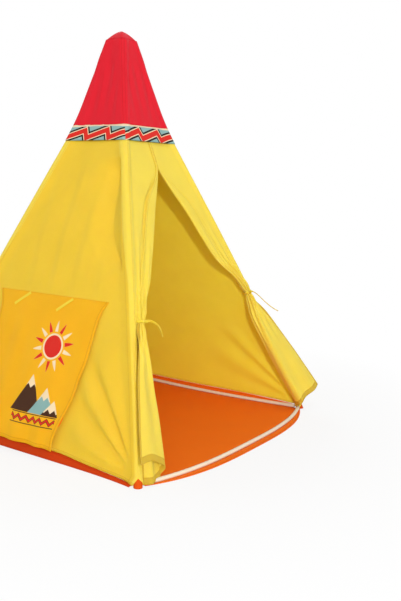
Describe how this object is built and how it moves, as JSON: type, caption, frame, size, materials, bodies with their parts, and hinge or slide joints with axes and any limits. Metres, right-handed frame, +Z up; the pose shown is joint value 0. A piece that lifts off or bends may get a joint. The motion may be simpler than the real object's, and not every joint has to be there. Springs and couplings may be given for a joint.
{
  "type": "kids teepee",
  "caption": "Square fabric play teepee on bent corner poles, with a tied-back door, a window flap, a patterned band under a pointed cap, and a sewn-in floor.",
  "frame": {"origin": "middle of the square base, on the underside of the floor mat, which is the ground", "axes": "+Z up the tent, -Y out of the door, -X out of the wall with the window flap"},
  "size_m": [1.0638, 1.0911, 1.35],
  "materials": {
    "yellow_cloth": "matt woven polyester",
    "flap_cloth": "matt woven polyester",
    "orange_cloth": "matt woven polyester",
    "red_cloth": "matt woven polyester",
    "band_cloth": "printed woven polyester",
    "cream_trim": "bias-bound cotton piping",
    "mustard_tape": "grosgrain tape",
    "pole_grey": "glass-fibre rod",
    "ferrule_metal": "drawn tube",
    "black_plastic": "moulded"
  },
  "bodies": {
    "tent": {"pole_front_left_lower": "pole_grey", "pole_front_left_upper": "pole_grey", "ferrule_front_left": "ferrule_metal", "pole_foot_front_left": "black_plastic", "pole_sleeve_front_left": "yellow_cloth", "corner_pocket_front_left": "orange_cloth", "pole_front_right_lower": "pole_grey", "pole_front_right_upper": "pole_grey", "ferrule_front_right": "ferrule_metal", "pole_foot_front_right": "black_plastic", "pole_sleeve_front_right": "yellow_cloth", "corner_pocket_front_right": "orange_cloth", "pole_back_right_lower": "pole_grey", "pole_back_right_upper": "pole_grey", "ferrule_back_right": "ferrule_metal", "pole_foot_back_right": "black_plastic", "pole_sleeve_back_right": "yellow_cloth", "corner_pocket_back_right": "orange_cloth", "pole_back_left_lower": "pole_grey", "pole_back_left_upper": "pole_grey", "ferrule_back_left": "ferrule_metal", "pole_foot_back_left": "black_plastic", "pole_sleeve_back_left": "yellow_cloth", "corner_pocket_back_left": "orange_cloth", "top_hub": "black_plastic", "wall_left": "yellow_cloth", "wall_right": "yellow_cloth", "wall_back": "yellow_cloth", "front_panel_left": "yellow_cloth", "door_tie_left": "mustard_tape", "door_tie_end_left": "mustard_tape", "front_panel_right": "yellow_cloth", "door_tie_right": "mustard_tape", "door_tie_end_right": "mustard_tape", "window_binding": "orange_cloth", "band_front": "band_cloth", "cap_front": "red_cloth", "floor_piping_front": "cream_trim", "floor_border_front": "orange_cloth", "band_right": "band_cloth", "cap_right": "red_cloth", "floor_piping_right": "cream_trim", "floor_border_right": "orange_cloth", "band_back": "band_cloth", "cap_back": "red_cloth", "floor_piping_back": "cream_trim", "floor_border_back": "orange_cloth", "band_left": "band_cloth", "cap_left": "red_cloth", "floor_piping_left": "cream_trim", "floor_border_left": "orange_cloth", "cap_crown": "red_cloth", "floor_mat": "orange_cloth"},
    "window_flap": {"window_flap": "flap_cloth", "window_tape_back": "mustard_tape", "window_tape_front": "mustard_tape"},
    "door_flap_left": {"door_flap_left": "yellow_cloth"},
    "door_flap_right": {"door_flap_right": "yellow_cloth"}
  },
  "joints": [
    {"name": "window_flap_lift", "type": "hinge", "parent": "tent", "child": "window_flap", "pos_m": [-0.3285, 0, 0.481], "axis": [0, 1, 0], "range_deg": [0, 130]},
    {"name": "door_flap_left_swing", "type": "hinge", "parent": "tent", "child": "door_flap_left", "pos_m": [-0.472, -0.48976, 0.02], "axis": [-0.3131, -0.3131, -0.8966], "range_deg": [0, 45]},
    {"name": "door_flap_right_swing", "type": "hinge", "parent": "tent", "child": "door_flap_right", "pos_m": [0.472, -0.48976, 0.02], "axis": [-0.3143, 0.3143, 0.8958], "range_deg": [0, 45]}
  ]
}
